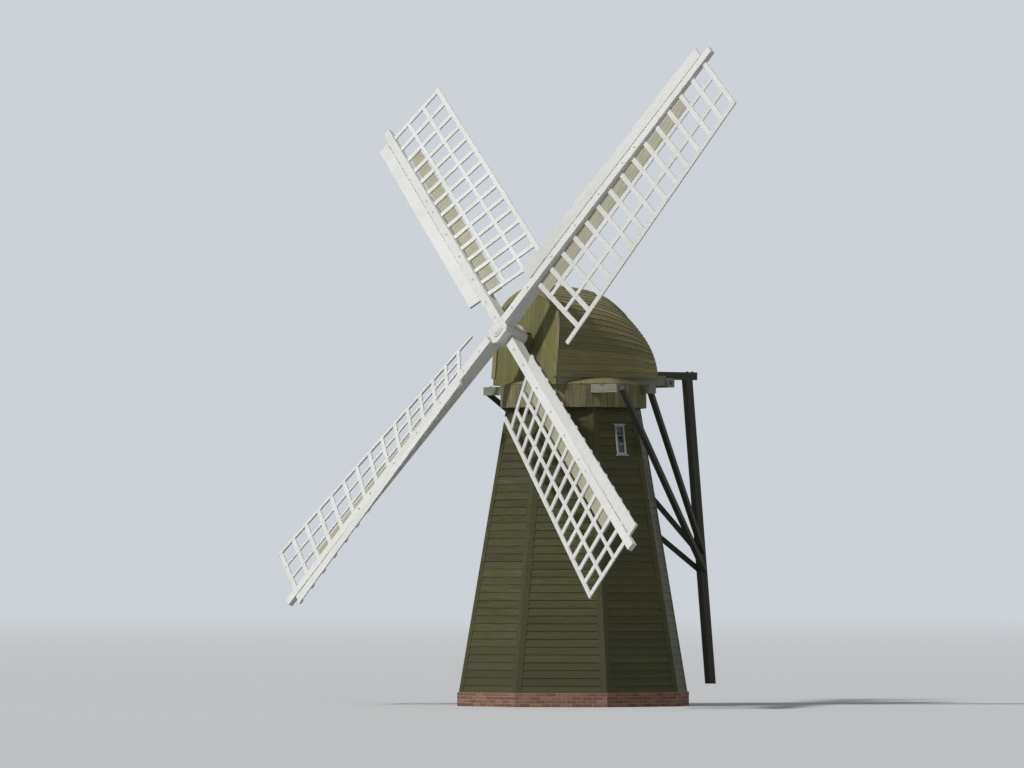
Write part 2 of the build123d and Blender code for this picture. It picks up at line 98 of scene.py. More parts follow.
def choose(piece, kind, test):
    # opens the piece for editing, with the points, edges or faces that pass the test selected
    openAll(piece)
    bpy.ops.mesh.select_mode(type=kind)
    bpy.ops.mesh.select_all(action="DESELECT")
    close()
    mesh = piece.data
    if kind == "FACE":
        for face in mesh.polygons:
            face.select = bool(test(face.center, face.normal))
    elif kind == "EDGE":
        for edge in mesh.edges:
            first, last = (mesh.vertices[i].co for i in edge.vertices)
            edge.select = bool(test((first + last) / 2, (last - first).normalized()))
    else:
        for point in mesh.vertices:
            point.select = bool(test(point.co))
    bpy.ops.object.mode_set(mode="EDIT")


def bevelChosen(width, rounds=1):
    bpy.ops.mesh.bevel(offset=width, segments=rounds, affect="EDGES")
    close()


def bevelAll(piece, width, rounds=1):
    openAll(piece)
    bevelChosen(width, rounds)


def slideTopFront(piece, way):
    # moves the upper edge of a board's face
    choose(piece, "VERT", lambda place: place.y < 0 and place.z > 0)
    bpy.ops.transform.translate(value=way)
    close()


def drawOut(piece, side, reach, scale):
    # extrudes one end of a piece that lies along x, and sizes the new end
    choose(piece, "FACE", lambda middle, normal: normal.x * side > almost)
    bpy.ops.mesh.extrude_region_move(TRANSFORM_OT_translate={"value": (side * reach, 0, 0)})
    bpy.ops.transform.resize(value=scale)
    close()


def openEnds(piece):
    choose(piece, "FACE", lambda middle, normal: abs(normal.z) > almost)
    bpy.ops.mesh.delete(type="FACE")
    close()


def applyModifier(piece, kind, **settings):
    onlyThis(piece)
    modifier = piece.modifiers.new(kind.title(), kind)
    for key, value in settings.items():
        setattr(modifier, key, value)
    bpy.ops.object.modifier_apply(modifier=modifier.name)


def softenEdges(piece, width):
    applyModifier(piece, "BEVEL", width=width, segments=1, limit_method="ANGLE",
                  angle_limit=math.radians(35))


def cutAway(piece, point, normal):
    # takes off what lies beyond a plane and closes the cut
    openAll(piece)
    bpy.ops.mesh.bisect(plane_co=point, plane_no=normal, use_fill=True, clear_outer=True,
                        threshold=1e-6)
    close()


def cutHole(piece, cutter):
    applyModifier(piece, "BOOLEAN", object=cutter, operation="DIFFERENCE", solver="EXACT")


def placesOf(piece):
    places = np.zeros(len(piece.data.vertices) * 3, np.float32)
    piece.data.vertices.foreach_get("co", places)
    return places.reshape(-1, 3)


def meets(piece, cutter):
    # whether the two boxes overlap
    a, b = placesOf(piece), placesOf(cutter)
    return bool(((a.min(0) < b.max(0)) & (b.min(0) < a.max(0))).all())


def markGrain(piece, order="XYZ"):
    # stores each point's place in the board, with the way of the grain first
    places = placesOf(piece)[:, ["XYZ".index(way) for way in order]]
    stored = piece.data.attributes
    grain = stored.get("grain") or stored.new("grain", "FLOAT_VECTOR", "POINT")
    grain.data.foreach_set("vector", np.ascontiguousarray(places).ravel())


def giveTone(piece):
    # every board or brick gets its own shade and its own stretch of grain
    stored = piece.data.attributes
    count = len(piece.data.vertices)
    grain = np.zeros(count * 3, np.float32)
    stored["grain"].data.foreach_get("vector", grain)
    shift = np.array([chance.uniform(0, 40) for _ in range(3)], np.float32)
    stored["grain"].data.foreach_set("vector", (grain.reshape(-1, 3) + shift).ravel())
    tone = stored.get("tone") or stored.new("tone", "FLOAT", "POINT")
    tone.data.foreach_set("value", np.full(count, chance.random(), np.float32))


def markBoard(piece, order="XYZ", place=Matrix()):
    # grain and shade of one board, from the board's own frame
    piece.data.transform(place.inverted())
    markGrain(piece, order)
    piece.data.transform(place)
    giveTone(piece)


def putIn(item):
    bpy.context.scene.collection.objects.link(item)


def copyPiece(pattern, matrix=Matrix()):
    copy = pattern.copy()
    copy.data = pattern.data.copy()
    copy.data.transform(matrix)
    putIn(copy)
    if "grain" in copy.data.attributes:
        giveTone(copy)
    return copy


def joinPieces(pieces, name):
    deselectAll()
    for piece in pieces:
        piece.select_set(True)
    bpy.context.view_layer.objects.active = pieces[0]
    if len(pieces) > 1:
        bpy.ops.object.join()
    return rename(bpy.context.view_layer.objects.active, name)


def copyNode(nodeName, name):
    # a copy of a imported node's mesh, with its loose triangles merged
    copy = copyPiece(nodes[nodeName])
    copy.parent = None
    copy.hide_viewport = copy.hide_render = False
    for key in list(copy.keys()):
        del copy[key]
    copy.name = name
    openAll(copy)
    bpy.ops.mesh.remove_doubles(threshold=1e-5)
    bpy.ops.mesh.dissolve_limited(angle_limit=math.radians(0.4))
    close()
    copy.data.materials.clear()
    return copy


def drop(*pieces):
    for piece in pieces:
        bpy.data.objects.remove(piece)


def sawBoards(nodeName, name, cuts, order, edge):
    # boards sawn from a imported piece, each from its own planes and with its own frame
    whole = copyNode(nodeName, "whole")
    parts = []
    for planes, place in cuts:
        board = copyPiece(whole)
        for point, normal in planes:
            cutAway(board, point, normal)
        if board.data.vertices:
            markBoard(board, order, place)
            parts.append(board)
        else:
            drop(board)
    drop(whole)
    boards = joinPieces(parts, name)
    softenEdges(boards, edge)
    return boards


def addPiece(piece, body, slot, finish, *stoodFor):
    piece.data.materials.clear()
    piece.data.materials.append(finish)
    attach(piece, body)
    if stoodFor:
        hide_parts(*stoodFor)


def across(angle):
    # horizontal way out of the side that faces an angle from the front
    return Vector((math.sin(angle), -math.cos(angle), 0))


def along(angle):
    return Vector((math.cos(angle), math.sin(angle), 0))


def towerRadius(z):
    return tower["baseRadius"] - narrowing * z / tower["wallTop"]


def moved(x, y, z):
    return Matrix.Translation((x, y, z))


def frameMatrix(origin, x, y, z):
    return Matrix.Translation(origin) @ Matrix((x, y, z)).transposed().to_4x4()


def uprightMatrix(angle, radius):
    # x along a side, y inwards, z up
    return frameMatrix(across(angle) * radius, along(angle), -across(angle), Vector((0, 0, 1)))


def sideMatrix(facing, z):
    # a side's own frame: x along it, y into the wall, z up its slope, from its middle at a height
    a = math.radians(facing)
    out = across(a) * math.cos(batter) + Vector((0, 0, math.sin(batter)))
    up = Vector((0, 0, math.cos(batter))) - across(a) * math.sin(batter)
    origin = across(a) * towerRadius(z) * math.cos(halfSide) + Vector((0, 0, z))
    return frameMatrix(origin, along(a), -out, up)


def sailMatrix(number, forward=0.0):
    # a sail's own frame: x across it, y out along it, z forwards along the shaft
    tilt = rotor["tilt"]
    ahead = Vector((0, -math.cos(tilt), math.sin(tilt)))
    up = Vector((0, math.sin(tilt), math.cos(tilt)))
    turn = Matrix.Rotation(math.radians(rotor["firstSail"] - 90 + 90 * number), 4, "Z")
    return frameMatrix(rotor["hub"], Vector((1, 0, 0)), up, ahead) @ moved(0, 0, forward) @ turn


# Finishes

noises = dict(
    fibre=dict(Detail=7.0, Roughness=0.62, Distortion=0.35), patch=dict(Detail=4.0, Roughness=0.6),
    rub=dict(Detail=5.0, Roughness=0.7), coarse=dict(Detail=6.0, Roughness=0.65),
    fine=dict(Detail=4.0, Roughness=0.7), smooth=dict(Detail=2.0))
# the stretch of each noise or mask that a finish spreads over its own values
spans = dict(
    edge=(0.98, 0.8), stain=(0.42, 0.7), ragged=(0.2, 0.8), rub=(0.5, 0.62), rough=(0.3, 0.7),
    dust=(0.45, 0.75), wave=(0.2, 0.8), whole=(0, 1))


def newFinish(name):
    finish = bpy.data.materials.new(name)
    finish.use_nodes = True
    return finish, finish.node_tree, finish.node_tree.nodes["Principled BSDF"]


def addNode(tree, kind, inputs=None, **settings):
    node = tree.nodes.new("ShaderNode" + kind)
    for key, value in settings.items():
        setattr(node, key, value)
    for key, value in (inputs or {}).items():
        if isinstance(value, bpy.types.NodeSocket):
            tree.links.new(value, node.inputs[key])
        else:
            node.inputs[key].default_value = value
    return node


def addMath(tree, operation, first, second=0.5):
    return addNode(tree, "Math", {0: first, 1: second}, operation=operation).outputs[0]


def addNoise(tree, kind, place, scale):
    return addNode(tree, "TexNoise", {"Vector": place, "Scale": scale,
                                      **noises[kind]}).outputs["Fac"]


def objectPlace(tree):
    return addNode(tree, "TexCoord").outputs["Object"]


def storedValue(tree, name, kind="Fac"):
    return addNode(tree, "Attribute", attribute_name=name).outputs[kind]


def stretched(tree, place, share):
    return addNode(tree, "Mapping", {"Vector": place, "Scale": (share, 1, 1)}).outputs["Vector"]


def addRamp(tree, factor, stops):
    node = addNode(tree, "ValToRGB", {"Fac": factor})
    ramp = node.color_ramp
    while len(ramp.elements) < len(stops):
        ramp.elements.new(0.5)
    for element, (place, colour) in zip(ramp.elements, stops):
        element.position = place
        element.color = (*colour, 1)
    return node.outputs["Color"]


def mixColours(tree, factor, first, second):
    if isinstance(second, tuple):
        second = (*second, 1)
    return addNode(tree, "Mix", {0: factor, 6: first, 7: second}, data_type="RGBA").outputs[2]


def mapTo(tree, value, span, low, high):
    return addNode(tree, "MapRange", {"Value": value, "From Min": span[0], "From Max": span[1],
                                      "To Min": low, "To Max": high}).outputs["Result"]


def edgeMask(tree, width):
    # 1 along the edges, 0 on the flats
    rounded = addNode(tree, "Bevel", {"Radius": width}, samples=4).outputs["Normal"]
    plain = addNode(tree, "NewGeometry").outputs["Normal"]
    dot = addNode(tree, "VectorMath", {0: rounded, 1: plain}, operation="DOT_PRODUCT")
    return mapTo(tree, dot.outputs["Value"], spans["edge"], 0, 1)


def dress(tree, shader, colour, rough, height, look):
    bump = addNode(tree, "Bump", {"Height": height, "Strength": look["bump"],
                                  "Distance": look["relief"]}).outputs["Normal"]
    for key, source in (("Base Color", colour), ("Roughness", rough), ("Normal", bump)):
        tree.links.new(source, shader.inputs[key])


def grainPlace(tree, turn, mirrored):
    # the board's own grain where it is stored, or else the mill's frame turned to the timber
    if turn is None:
        return storedValue(tree, "grain", "Vector")
    place = objectPlace(tree)
    if mirrored:
        parts = addNode(tree, "SeparateXYZ", {"Vector": place}).outputs
        sides = {"X": addMath(tree, "ABSOLUTE", parts["X"]), "Y": parts["Y"], "Z": parts["Z"]}
        place = addNode(tree, "CombineXYZ", sides).outputs["Vector"]
    return addNode(tree, "Mapping", {"Vector": place, "Rotation": turn}).outputs["Vector"]


def timberFinish(name, look, turn=None, mirrored=False):
    finish, tree, shader = newFinish(name)
    grain = grainPlace(tree, turn, mirrored)
    fibre = addNoise(tree, "fibre", stretched(tree, grain, look["stretch"]), look["fibre"])
    patch = addNoise(tree, "patch", stretched(tree, grain, look["patchStretch"]), look["patch"])
    colour = addRamp(tree, fibre, list(zip(look["stops"], look["shades"])))
    stained = mapTo(tree, patch, spans["stain"], 0, look["stained"])
    colour = mixColours(tree, stained, colour, look["stain"])
    if turn is None:
        tone = storedValue(tree, "tone")
        value = mapTo(tree, tone, spans["whole"], 1 - look["tone"], 1 + look["tone"])
        colour = addNode(tree, "HueSaturation", {"Color": colour, "Value": value}).outputs["Color"]
    if "foot" in look:
        foot = look["foot"]
        height = addNode(tree, "SeparateXYZ", {"Vector": objectPlace(tree)}).outputs["Z"]
        ragged = addMath(tree, "ADD", mapTo(tree, patch, spans["ragged"], -0.5, 0.5), height)
        damp = mapTo(tree, ragged, foot["heights"], foot["share"], 0)
        colour = mixColours(tree, damp, colour, foot["colour"])
    if "wear" in look:
        wear = look["wear"]
        rubbed = addNoise(tree, "rub", grain, wear["scale"])
        rubbed = mapTo(tree, rubbed, spans["rub"], 0, wear["share"])
        worn = addMath(tree, "MULTIPLY", edgeMask(tree, wear["width"]), rubbed)
        colour = mixColours(tree, worn, colour, wear["colour"])
    rough = mapTo(tree, fibre, spans["rough"], *look["rough"])
    dress(tree, shader, colour, rough, fibre, look)
    shader.inputs["Specular IOR Level"].default_value = look["shine"]
    return finish


def speckledFinish(name, look):
    # brick, mortar, stone and iron
    finish, tree, shader = newFinish(name)
    place = objectPlace(tree)
    coarse = addNoise(tree, "coarse", place, look["coarse"])
    fine = addNoise(tree, "fine", place, look["fine"])
    colour = addRamp(tree, coarse, look["colours"])
    if "toned" in look:
        toned = addRamp(tree, storedValue(tree, "tone"), look["toned"])
        colour = mixColours(tree, look["tonedShare"], colour, toned)
    dusted = mapTo(tree, fine, spans["dust"], 0, look["dusted"])
    colour = mixColours(tree, dusted, colour, look["dust"])
    dress(tree, shader, colour, mapTo(tree, fine, spans["rough"], *look["rough"]), fine, look)
    shader.inputs["Metallic"].default_value = look["metal"]
    return finish


def glassFinish(name, look):
    finish, tree, shader = newFinish(name)
    wave = addNoise(tree, "smooth", objectPlace(tree), look["scale"])
    colour = addRamp(tree, wave, look["colours"])
    dress(tree, shader, colour, mapTo(tree, wave, spans["wave"], *look["rough"]), wave, look)
    return finish


# Each look holds only what differs from the one that it starts from
timberLook = dict(
    fibre=40.0, stretch=0.05, tone=0.2, patch=2.0, patchStretch=0.35, stained=0.5,
    stops=(0.3, 0.52, 0.74), rough=(0.6, 0.88), bump=0.45, relief=0.004, shine=0.35)
tarLook = dict(
    timberLook, fibre=46.0, patch=1.3, stained=0.55, rough=(0.52, 0.82),
    shades=((0.026, 0.024, 0.009), (0.06, 0.056, 0.018), (0.106, 0.101, 0.036)),
    stain=(0.073, 0.071, 0.021),
    foot=dict(heights=(0.4, 1.7), share=0.6, colour=(0.042, 0.046, 0.015)))
poleLook = dict(
    timberLook, patch=1.8, bump=0.55,
    shades=((0.026, 0.025, 0.019), (0.06, 0.057, 0.042), (0.12, 0.114, 0.085)),
    stain=(0.06, 0.064, 0.04),
    wear=dict(width=0.02, scale=5.0, share=0.6, colour=(0.17, 0.16, 0.12)))
capLook = dict(
    timberLook, fibre=42.0, tone=0.22, patch=1.9, stained=0.6,
    shades=((0.13, 0.117, 0.053), (0.248, 0.223, 0.102), (0.365, 0.33, 0.165)),
    stain=(0.184, 0.175, 0.066))
petticoatLook = dict(capLook, stain=(0.08, 0.082, 0.062))
gableLook = dict(
    timberLook, fibre=42.0, tone=0.14, patch=2.4, stained=0.55,
    shades=((0.12, 0.118, 0.04), (0.185, 0.18, 0.062), (0.245, 0.235, 0.1)),
    stain=(0.15, 0.15, 0.05), rough=(0.5, 0.8), bump=0.35)
# weathered grey timber, painted paler than its own colour so that the sheers and beams look sunlit:
# partly real colour, partly painted light
weatheredPaintedLightLook = dict(
    timberLook, tone=0.18, stained=0.55, rough=(0.62, 0.9), bump=0.55,
    shades=((0.15, 0.154, 0.118), (0.27, 0.274, 0.212), (0.385, 0.388, 0.305)),
    stain=(0.205, 0.218, 0.14),
    wear=dict(width=0.02, scale=5.0, share=0.7, colour=(0.44, 0.44, 0.36)))
frameLook = dict(
    timberLook, bump=0.5, stain=(0.13, 0.105, 0.07),
    shades=((0.11, 0.08, 0.048), (0.2, 0.15, 0.092), (0.29, 0.225, 0.145)))
doorLook = dict(
    timberLook, fibre=42.0, tone=0.12, patch=2.4, rough=(0.42, 0.7),
    shades=((0.028, 0.06, 0.042), (0.045, 0.092, 0.064), (0.08, 0.13, 0.094)),
    stain=(0.052, 0.07, 0.05), bump=0.35)
innerBoardLook = dict(
    timberLook, fibre=38.0, stretch=0.06, tone=0.14, patch=2.2,
    shades=((0.33, 0.312, 0.215), (0.45, 0.43, 0.31), (0.56, 0.538, 0.41)), stained=0.55,
    stain=(0.36, 0.345, 0.235), bump=0.4)
whiteLook = dict(
    timberLook, fibre=38.0, stretch=0.06, tone=0.05, patch=1.6, stops=(0.3, 0.5, 0.75),
    rough=(0.42, 0.66), bump=0.3, shades=((0.7, 0.7, 0.66), (0.8, 0.8, 0.765), (0.84, 0.84, 0.815)),
    stain=(0.64, 0.65, 0.58),
    wear=dict(width=0.007, scale=3.5, share=0.7, colour=(0.42, 0.395, 0.33)))
latticeLook = dict(whiteLook, fibre=30.0, stretch=0.5, bump=0.18)
greyLook = dict(
    whiteLook, tone=0.06, patch=3.0, bump=0.25, stain=(0.33, 0.35, 0.32),
    shades=((0.38, 0.4, 0.39), (0.47, 0.49, 0.48), (0.54, 0.56, 0.55)),
    wear=dict(width=0.008, scale=9.0, share=0.7, colour=(0.24, 0.215, 0.165)))

speckleLook = dict(relief=0.003, metal=0.0)
brickLook = dict(
    speckleLook, coarse=22.0, fine=130.0, dusted=0.45, rough=(0.75, 0.95),
    colours=[(0.3, (0.16, 0.06, 0.038)), (0.6, (0.27, 0.105, 0.062)), (0.8, (0.33, 0.16, 0.1))],
    toned=[(0.0, (0.13, 0.052, 0.036)), (0.5, (0.255, 0.096, 0.056)), (1.0, (0.34, 0.175, 0.11))],
    tonedShare=0.75, dust=(0.3, 0.245, 0.19), bump=0.6)
mortarLook = dict(
    speckleLook, coarse=14.0, fine=160.0, dusted=0.4, rough=(0.85, 0.98),
    colours=[(0.3, (0.3, 0.285, 0.245)), (0.7, (0.43, 0.41, 0.36))], dust=(0.22, 0.215, 0.17),
    bump=0.7)
stoneLook = dict(
    speckleLook, coarse=9.0, fine=90.0, dusted=0.5, rough=(0.7, 0.92),
    colours=[(0.3, (0.23, 0.225, 0.205)), (0.7, (0.37, 0.36, 0.33))], dust=(0.18, 0.19, 0.14),
    bump=0.5)
paintedIronLook = dict(
    speckleLook, coarse=10.0, fine=85.0, dusted=0.35,
    colours=[(0.3, (0.7, 0.695, 0.65)), (0.7, (0.81, 0.808, 0.775))], dust=(0.56, 0.48, 0.37),
    rough=(0.42, 0.68), bump=0.25)
ironLook = dict(
    speckleLook, coarse=12.0, fine=110.0, dusted=0.55, rough=(0.45, 0.75),
    colours=[(0.3, (0.04, 0.038, 0.036)), (0.7, (0.095, 0.088, 0.08))], dust=(0.15, 0.075, 0.04),
    bump=0.35, metal=0.55)
glassLook = dict(
    colours=[(0.3, (0.03, 0.04, 0.044)), (0.7, (0.085, 0.105, 0.11))], scale=5.0,
    rough=(0.05, 0.16), bump=0.25, relief=0.01)

tarredBoards = timberFinish("tarredBoards", tarLook)
capBoards = timberFinish("capBoards", capLook)
gableBoards = timberFinish("gableBoards", gableLook)
petticoatBoards = timberFinish("petticoatBoards", petticoatLook)
weatheredPaintedLightBoards = timberFinish("weatheredPaintedLightBoards", weatheredPaintedLightLook)
doorPlanks = timberFinish("doorPlanks", doorLook)
greyPaint = timberFinish("greyPaint", greyLook)
brickFace = speckledFinish("brickFace", brickLook)
mortarFace = speckledFinish("mortarFace", mortarLook)
stoneFace = speckledFinish("stoneFace", stoneLook)
ironFace = speckledFinish("ironFace", ironLook)
paintedIron = speckledFinish("paintedIron", paintedIronLook)
print("finishes made")


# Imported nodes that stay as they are, each with its finish and the way of its timber

def finishNode(nodeName, finish):
    for slot in nodes[nodeName].material_slots:
        slot.material = finish


def turnToX(way):
    # the turn that brings a timber's own way to the grain's x
    return tuple(Vector(way).rotation_difference(Vector((1, 0, 0))).to_euler("XYZ"))


def sailTurn(number):
    return turnToX(sailMatrix(number).to_3x3() @ Vector((0, 1, 0)))


upright = (0, math.radians(90), 0)          # turns a timber's z to the grain's x
lengthwise = (0, 0, math.radians(-90))      # turns y to x
level = (0, 0, 0)
shaftWay = (0, -math.cos(rotor["tilt"]), math.sin(rotor["tilt"]))
timbers = [
    ("door_frame window_frames", greyLook, upright), ("upper_floor", frameLook, lengthwise),
    ("curb_ring cap_circle breast_beam tail_beam", frameLook, level),
    ("cross_beams rear_spreader", weatheredPaintedLightLook, level),
    ("sheers", weatheredPaintedLightLook, lengthwise, True), ("tail_tree", poleLook, lengthwise),
    ("tailpole", poleLook, upright),
    ("long_braces", poleLook, turnToX((-2.3, 4.1, -3.9)), True),
    ("short_braces", poleLook, turnToX((-1.4, 2.6, -3.5)), True),
    ("windshaft", frameLook, turnToX(shaftWay)), ("stock_back", whiteLook, sailTurn(1)),
    ("stock_front leading_boards", whiteLook, sailTurn(0)),
    ("inner_boards", innerBoardLook, sailTurn(0))]
timbers += [(f"sail_lattice_{n + 1}", latticeLook, sailTurn(n)) for n in range(4)]
for names, look, *turning in timbers:
    for nodeName in names.split():
        finishNode(nodeName, timberFinish(nodeName + "Timber", look, *turning))
finishNode("cant_posts", timberFinish("tarredPosts", tarLook, upright))
finishNode("window_panes", glassFinish("windowGlass", glassLook))
finishNode("doorstep", stoneFace)
finishNode("ground_floor", stoneFace)
finishNode("shaft_bearings", ironFace)
finishNode("poll_end", paintedIron)
print("packed nodes finished")


# Lapped boards on the eight sides of the tower

sideNames = "front front_right right back_right back back_left left front_left".split()
wallBoards = dict(
    length=2.2, pitch=0.168, thick=0.026, lap=0.015, overlap=0.014, edge=0.0035, unevenness=0.0015,
    tilt=0.0008, endGap=0.002, topGap=0.001, footGap=0.002)
windowHole = dict(width=0.25, height=0.64, depth=0.3, middle=5.77, shift=0.09)
doorHole = dict(facing=225, width=0.99, height=3.64, depth=0.3)    # half of it is below the sill


def lappedBoard():
    # lies along x with its face towards -y, and is thinner at its upper edge
    thick = wallBoards["thick"]
    width = wallBoards["pitch"] + wallBoards["overlap"]
    board = startBlock("lappedBoard", (wallBoards["length"], thick, width))
    slideTopFront(board, (0, wallBoards["lap"], 0))
    choose(board, "EDGE", lambda middle, way: middle.y < -thick / 4 and abs(way.x) > almost)
    bevelChosen(wallBoards["edge"], 2)
    markGrain(board)
    return board


def sideEdge(facing, sign, inset):
    # a point on the edge of a side's boarding, and the way out across that edge
    a = math.radians(facing)
    aside = along(a) * sign * (tower["postFace"] + inset)
    low, high = (across(a + sign * halfSide) * towerRadius(z) - aside + Vector((0, 0, z))
                 for z in (tower["plinthTop"], tower["wallTop"]))
    normal = (high - low).cross(across(a)).normalized()
    return low, normal if normal.dot(along(a)) * sign > 0 else -normal


def windowMatrix(facing):
    shift = windowHole["shift"] * (1 if facing == 90 else -1)
    return sideMatrix(facing, windowHole["middle"]) @ moved(shift, 0, 0)


def wallHole(facing):
    # a block where the side has its window or its door
    if facing in (90, 270):
        sizes, place = windowHole, windowMatrix(facing)
    elif facing == doorHole["facing"]:
        sizes, place = doorHole, sideMatrix(facing, tower["plinthTop"])
    else:
        return None
    hole = startBlock("hole", (sizes["width"], sizes["depth"], sizes["height"]))
    hole.data.transform(place)
    return hole


def boardSide(number, pattern):
    facing = 45 * number
    base = sideMatrix(facing, tower["plinthTop"])
    length = (tower["wallTop"] - tower["plinthTop"]) / math.cos(batter)
    count = round(length / wallBoards["pitch"])
    pitch = length / count
    hole = wallHole(facing)
    courses = []
    for k in range(count):
        depth = wallBoards["thick"] / 2 + chance.uniform(0, wallBoards["unevenness"])
        rise = (k + 0.5) * pitch - wallBoards["overlap"] / 2
        tilt = chance.uniform(-wallBoards["tilt"], wallBoards["tilt"])
        place = base @ moved(0, depth, max(rise, pitch / 2)) @ Matrix.Rotation(tilt, 4, "Y")
        course = copyPiece(pattern, place)
        if hole and meets(course, hole):
            cutHole(course, hole)
            markBoard(course, "XYZ", place)
        courses.append(course)
    if hole:
        drop(hole)
    boards = joinPieces([course for course in courses if course.data.vertices], "boards")
    for sign in (-1, 1):
        cutAway(boards, *sideEdge(facing, sign, wallBoards["endGap"]))
    cutAway(boards, (0, 0, tower["wallTop"] - wallBoards["topGap"]), (0, 0, 1))
    cutAway(boards, (0, 0, tower["plinthTop"] + wallBoards["footGap"]), (0, 0, -1))
    nodeName = "wall_" + sideNames[number]
    backing = copyNode(nodeName, "backing")
    cutAway(backing, base @ Vector((0, wallBoards["thick"], 0)), -base.col[1].xyz)
    markBoard(backing)
    side = joinPieces([boards, backing], "boards_" + sideNames[number])
    addPiece(side, "tower", "tarred_boards", tarredBoards, nodeName)


towerBoard = lappedBoard()
for number in range(8):
    boardSide(number, towerBoard)
drop(towerBoard)
print("tower boarded")


# Brick plinth, laid in four courses

bricks = dict(
    length=0.215, depth=0.1025, height=0.065, joint=0.01, courses=4, edge=0.004, mortarSet=0.006,
    proud=0.035, unevenness=0.002)
plinthSide = towerRadius(tower["plinthTop"]) * math.cos(halfSide) + bricks["proud"]


def layPlinth():
    brick = startBlock("brick", (bricks["length"], bricks["depth"], bricks["height"]))
    bevelAll(brick, bricks["edge"])
    markGrain(brick)
    half = plinthSide * math.tan(halfSide)
    step = bricks["length"] + bricks["joint"]
    rise = tower["plinthTop"] / bricks["courses"]
    sides = []
    for number in range(8):
        a = math.radians(45 * number)
        base = uprightMatrix(a, plinthSide)
        laid = []
        for course in range(bricks["courses"]):
            first = -half - step / 2 + (step / 2 if course % 2 else 0)
            for k in range(int(2 * half / step) + 2):
                x = first + (k + 0.5) * step
                y = bricks["depth"] / 2 + chance.uniform(0, bricks["unevenness"])
                if abs(x) < half + step / 2:
                    laid.append(copyPiece(brick, base @ moved(x, y, (course + 0.5) * rise)))
        side = joinPieces(laid, "laid")
        for sign in (-1, 1):
            corner = a + sign * halfSide
            point = across(corner) * plinthSide / math.cos(halfSide)
            cutAway(side, point - along(corner) * sign * bricks["joint"] / 2, along(corner) * sign)
        sides.append(side)
    drop(brick)
    return joinPieces(sides, "plinth_bricks")


def mortarBed():
    bed = copyNode("brick_plinth", "plinth_mortar")
    for number in range(8):
        a = math.radians(45 * number)
        cutAway(bed, across(a) * (plinthSide - bricks["mortarSet"]), across(a))
    return bed


addPiece(layPlinth(), "tower", "brick", brickFace, "brick_plinth")
addPiece(mortarBed(), "tower", "brick", mortarFace)
print("plinth laid")


# Door of upright planks on ledges, with strap hinges and a ring handle

doorLeaf = dict(
    width=0.85, height=1.75, recess=0.06, thick=0.045, planks=5, gap=0.004, footGap=0.012,
    plankThick=0.026, edge=0.004, ledgeInset=0.06, ledgeHeight=0.13, ledges=(0.22, 0.88, 1.52))
hinge = dict(
    length=0.62, width=0.045, thick=0.006, edge=0.0012, middle=-0.06, heights=(0.3, 1.46),
    point=0.05, pointScale=(1, 1, 0.25), knuckle=0.03, knuckleScale=(1, 3.2, 1))
nails = dict(
    radius=0.011, length=0.008, sides=12, edge=0.002, out=0.005, count=5, first=-0.24, step=0.12)
handle = dict(
    plate=(0.06, 0.006, 0.17), edge=0.002, place=(0.33, -0.003, 0.92), ring=0.042, ringSides=32,
    wire=0.006, wireSides=10, ringPlace=(0, -0.012, -0.02), knob=0.012, knobLength=0.022,
    knobSides=16, knobEdge=0.003, knobPlace=(0, -0.012, 0.022))
doorBase = sideMatrix(doorHole["facing"], tower["plinthTop"])


def doorBoards():
    thick = doorLeaf["plankThick"]
    plankWidth = doorLeaf["width"] / doorLeaf["planks"]
    plankSize = (plankWidth - doorLeaf["gap"], thick, doorLeaf["height"] - doorLeaf["footGap"])
    plank = startBlock("plank", plankSize)
    bevelAll(plank, doorLeaf["edge"])
    markGrain(plank, "ZXY")
    parts = []
    for k in range(doorLeaf["planks"]):
        x = (k + 0.5) * plankWidth - doorLeaf["width"] / 2
        y = doorLeaf["recess"] + thick / 2
        parts.append(copyPiece(plank, doorBase @ moved(x, y, doorLeaf["height"] / 2)))
    ledge = startBlock("ledge", (doorLeaf["width"] - doorLeaf["ledgeInset"],
                                 doorLeaf["thick"] - thick, doorLeaf["ledgeHeight"]))
    bevelAll(ledge, doorLeaf["edge"])
    markGrain(ledge)
    for height in doorLeaf["ledges"]:
        y = doorLeaf["recess"] + (thick + doorLeaf["thick"]) / 2
        parts.append(copyPiece(ledge, doorBase @ moved(0, y, height)))
    drop(plank, ledge)
    return joinPieces(parts, "door_planks")


def doorIronwork():
    strap = startBlock("strap", (hinge["length"], hinge["thick"], hinge["width"]))
    drawOut(strap, 1, hinge["point"], hinge["pointScale"])
    drawOut(strap, -1, hinge["knuckle"], hinge["knuckleScale"])
    softenEdges(strap, hinge["edge"])
    nail = startRod("nail", nails["radius"], nails["length"], nails["sides"], turn=facingFront)
    bevelAll(nail, nails["edge"])
    iron = []
    for height in hinge["heights"]:
        y = doorLeaf["recess"] - hinge["thick"] / 2
        place = doorBase @ moved(hinge["middle"], y, height)
        iron.append(copyPiece(strap, place))
        for k in range(nails["count"]):
            x = nails["first"] + nails["step"] * k
            iron.append(copyPiece(nail, place @ moved(x, -nails["out"], 0)))
    plate = startBlock("plate", handle["plate"])
    bevelAll(plate, handle["edge"])
    at = doorBase @ moved(0, doorLeaf["recess"], 0) @ moved(*handle["place"])
    iron.append(copyPiece(plate, at))
    ringPull = start("ringPull", bpy.ops.mesh.primitive_torus_add, major_radius=handle["ring"],
                     minor_radius=handle["wire"], major_segments=handle["ringSides"],
                     minor_segments=handle["wireSides"], rotation=facingFront)
    iron.append(copyPiece(ringPull, at @ moved(*handle["ringPlace"])))
    knob = startRod("knob", handle["knob"], handle["knobLength"], handle["knobSides"],
                    turn=facingFront)
    bevelAll(knob, handle["knobEdge"], 2)
    iron.append(copyPiece(knob, at @ moved(*handle["knobPlace"])))
    drop(strap, nail, plate, ringPull, knob)
    return joinPieces(iron, "door_ironwork")


